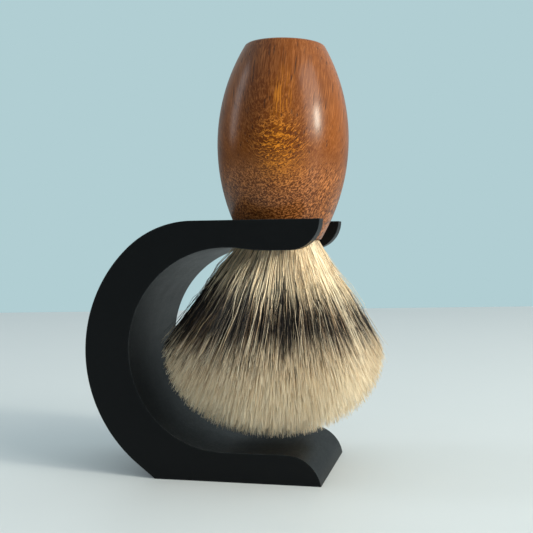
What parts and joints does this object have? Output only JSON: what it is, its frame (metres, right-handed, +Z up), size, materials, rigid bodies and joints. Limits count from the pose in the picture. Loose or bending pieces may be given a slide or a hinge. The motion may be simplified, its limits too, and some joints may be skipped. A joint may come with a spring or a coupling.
{
  "type": "shaving brush",
  "caption": "Shaving brush with a turned wooden barrel handle and a flared hair knot, hanging knot down in the fork of a C-shaped black stand.",
  "frame": {"origin": "on the stand's flat underside, straight below the centre of the fork's seat", "axes": "+Z up through the brush, +X out of the fork's open side, Y across the stand's depth"},
  "size_m": [0.0821, 0.062, 0.1215],
  "materials": {
    "stand_black": "satin",
    "handle_wood": "satin",
    "knot_resin": "gloss",
    "binding_thread": "matte",
    "socket_epoxy": "gloss",
    "badger_hair": "matte"
  },
  "bodies": {
    "stand": {"stand_frame": "stand_black"},
    "brush": {"handle": "handle_wood", "knot_plug": "knot_resin", "knot_binding": "binding_thread", "knot_adhesive": "socket_epoxy"},
    "hair": {"bristle_knot": "badger_hair"}
  },
  "joints": [
    {"name": "brush_withdraw", "type": "slide", "parent": "stand", "child": "brush", "axis": [1, 0, 0], "range_m": [0, 0.07]},
    {"name": "knot_flex", "type": "hinge", "parent": "brush", "child": "hair", "pos_m": [-0.0003, 0, 0.062], "axis": [0.9995, 0, -0.0332], "range_deg": [-10, 10], "stiffness_Nm_per_rad": 0.12}
  ]
}
